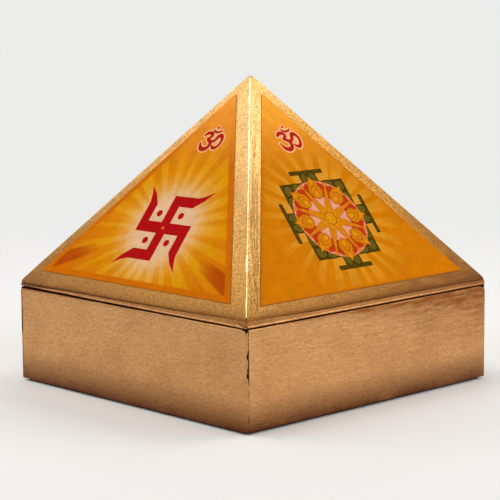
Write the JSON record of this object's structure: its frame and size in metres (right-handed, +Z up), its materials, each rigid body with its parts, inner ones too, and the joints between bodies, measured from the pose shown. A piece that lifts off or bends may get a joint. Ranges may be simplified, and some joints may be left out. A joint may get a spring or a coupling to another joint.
{
  "type": "vastu pyramid",
  "caption": "Square foil-clad wooden box with a lift-off gilded pyramid lid, printed labels on its slopes, and a loose tray of small pyramids inside.",
  "frame": {"origin": "centre of the underside, on the surface that the box stands on", "axes": "+Z up; -Y is the side with the gated-square label on the viewer's right in the picture, -X the side with the cross-shaped label on the left, all four sides parallel to X or Y"},
  "size_m": [0.1, 0.1, 0.0931],
  "materials": {
    "copper_foil": "satin, fine grain",
    "gold_leaf": "metallic leaf, granular",
    "printed_label": "satin print",
    "raw_wood": "sanded, unfinished",
    "black_felt": "matt felt",
    "copper_sheet": "bright, pressed",
    "golden_wood": "metallic paint",
    "steel_pin": "plain"
  },
  "bodies": {
    "base": {"base_felt": "black_felt", "base_floor": "raw_wood", "base_wall_front": "raw_wood", "base_wall_right": "raw_wood", "base_wall_back": "raw_wood", "base_wall_left": "raw_wood", "base_foil_front": "copper_foil", "base_foil_right": "copper_foil", "base_foil_back": "copper_foil", "base_foil_left": "copper_foil", "base_liner_front": "raw_wood", "base_liner_right": "raw_wood", "base_liner_back": "raw_wood", "base_liner_left": "raw_wood", "corner_block_front": "raw_wood", "corner_block_right": "raw_wood", "corner_block_back": "raw_wood", "corner_block_left": "raw_wood", "copper_plate": "copper_sheet", "floor_pin_1": "steel_pin", "floor_pin_2": "steel_pin", "floor_pin_3": "steel_pin", "floor_pin_4": "steel_pin", "floor_pin_5": "steel_pin", "floor_pin_6": "steel_pin", "floor_pin_7": "steel_pin", "floor_pin_8": "steel_pin"},
    "tray": {"tray_board": "raw_wood", "mini_pyramid_1": "golden_wood", "mini_pyramid_2": "golden_wood", "mini_pyramid_3": "golden_wood", "mini_pyramid_4": "golden_wood", "mini_pyramid_5": "golden_wood", "mini_pyramid_6": "golden_wood", "mini_pyramid_7": "golden_wood", "mini_pyramid_8": "golden_wood", "mini_pyramid_9": "golden_wood"},
    "lid": {"lid_rim_front": "copper_foil", "lid_rim_right": "copper_foil", "lid_rim_back": "copper_foil", "lid_rim_left": "copper_foil", "lid_board_front": "raw_wood", "lid_board_right": "raw_wood", "lid_board_back": "raw_wood", "lid_board_left": "raw_wood", "lid_leaf_front": "gold_leaf", "lid_leaf_right": "gold_leaf", "lid_leaf_back": "gold_leaf", "lid_leaf_left": "gold_leaf", "lid_label_front": "printed_label", "lid_label_right": "printed_label", "lid_label_back": "printed_label", "lid_label_left": "printed_label"}
  },
  "joints": [
    {"name": "tray_lift", "type": "slide", "parent": "base", "child": "tray", "axis": [0, 0, 1], "range_m": [0, 0.06]},
    {"name": "lid_lift", "type": "slide", "parent": "tray", "child": "lid", "axis": [0, 0, 1], "range_m": [0, 0.09]}
  ]
}
